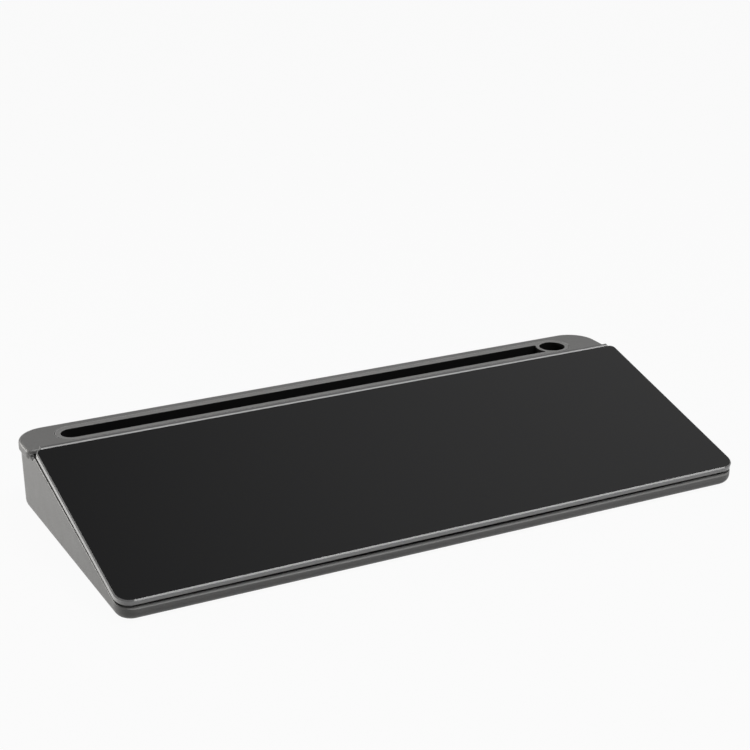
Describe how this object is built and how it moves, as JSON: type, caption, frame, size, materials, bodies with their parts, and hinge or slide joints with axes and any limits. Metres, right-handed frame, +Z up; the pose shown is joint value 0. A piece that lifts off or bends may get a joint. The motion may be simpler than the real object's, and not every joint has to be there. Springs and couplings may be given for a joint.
{
  "type": "desktop whiteboard",
  "caption": "Low sloped desktop whiteboard: a glass writing lid hinged at its rear edge over a storage tub, with a rear rail that holds a long device slot and a round pen cup.",
  "frame": {"origin": "on the table under the middle of the board's width and depth", "axes": "+X to the right of a person who faces the board, +Y to the rear, +Z up"},
  "size_m": [0.4066, 0.1826, 0.0495],
  "materials": {
    "shell": "satin, finely grained",
    "trough": "satin",
    "tray": "matte",
    "glass": "polished, painted black on its back",
    "pad_rubber": "matte",
    "steel": "bright",
    "tape": "matte foam"
  },
  "bodies": {
    "base": {"base_tub": "shell", "rail_cap": "shell", "slot_trough": "trough", "trough_pad": "pad_rubber", "housing_screws": "steel", "hinge_pin_left": "steel", "hinge_pin_right": "steel", "foot_front_left": "pad_rubber", "foot_front_right": "pad_rubber", "foot_rear_left": "pad_rubber", "foot_rear_right": "pad_rubber", "lid_bumper_left": "pad_rubber", "lid_bumper_right": "pad_rubber", "stop_pad_left": "pad_rubber", "stop_pad_right": "pad_rubber"},
    "lid": {"lid_tray": "tray", "glass_panel": "glass", "tape_front": "tape", "tape_rear": "tape", "tape_left": "tape", "tape_right": "tape"}
  },
  "joints": [
    {"name": "lid_hinge", "type": "hinge", "parent": "base", "child": "lid", "pos_m": [0, 0.04906, 0.04213], "axis": [-1, 0, 0], "range_deg": [0, 112]}
  ]
}
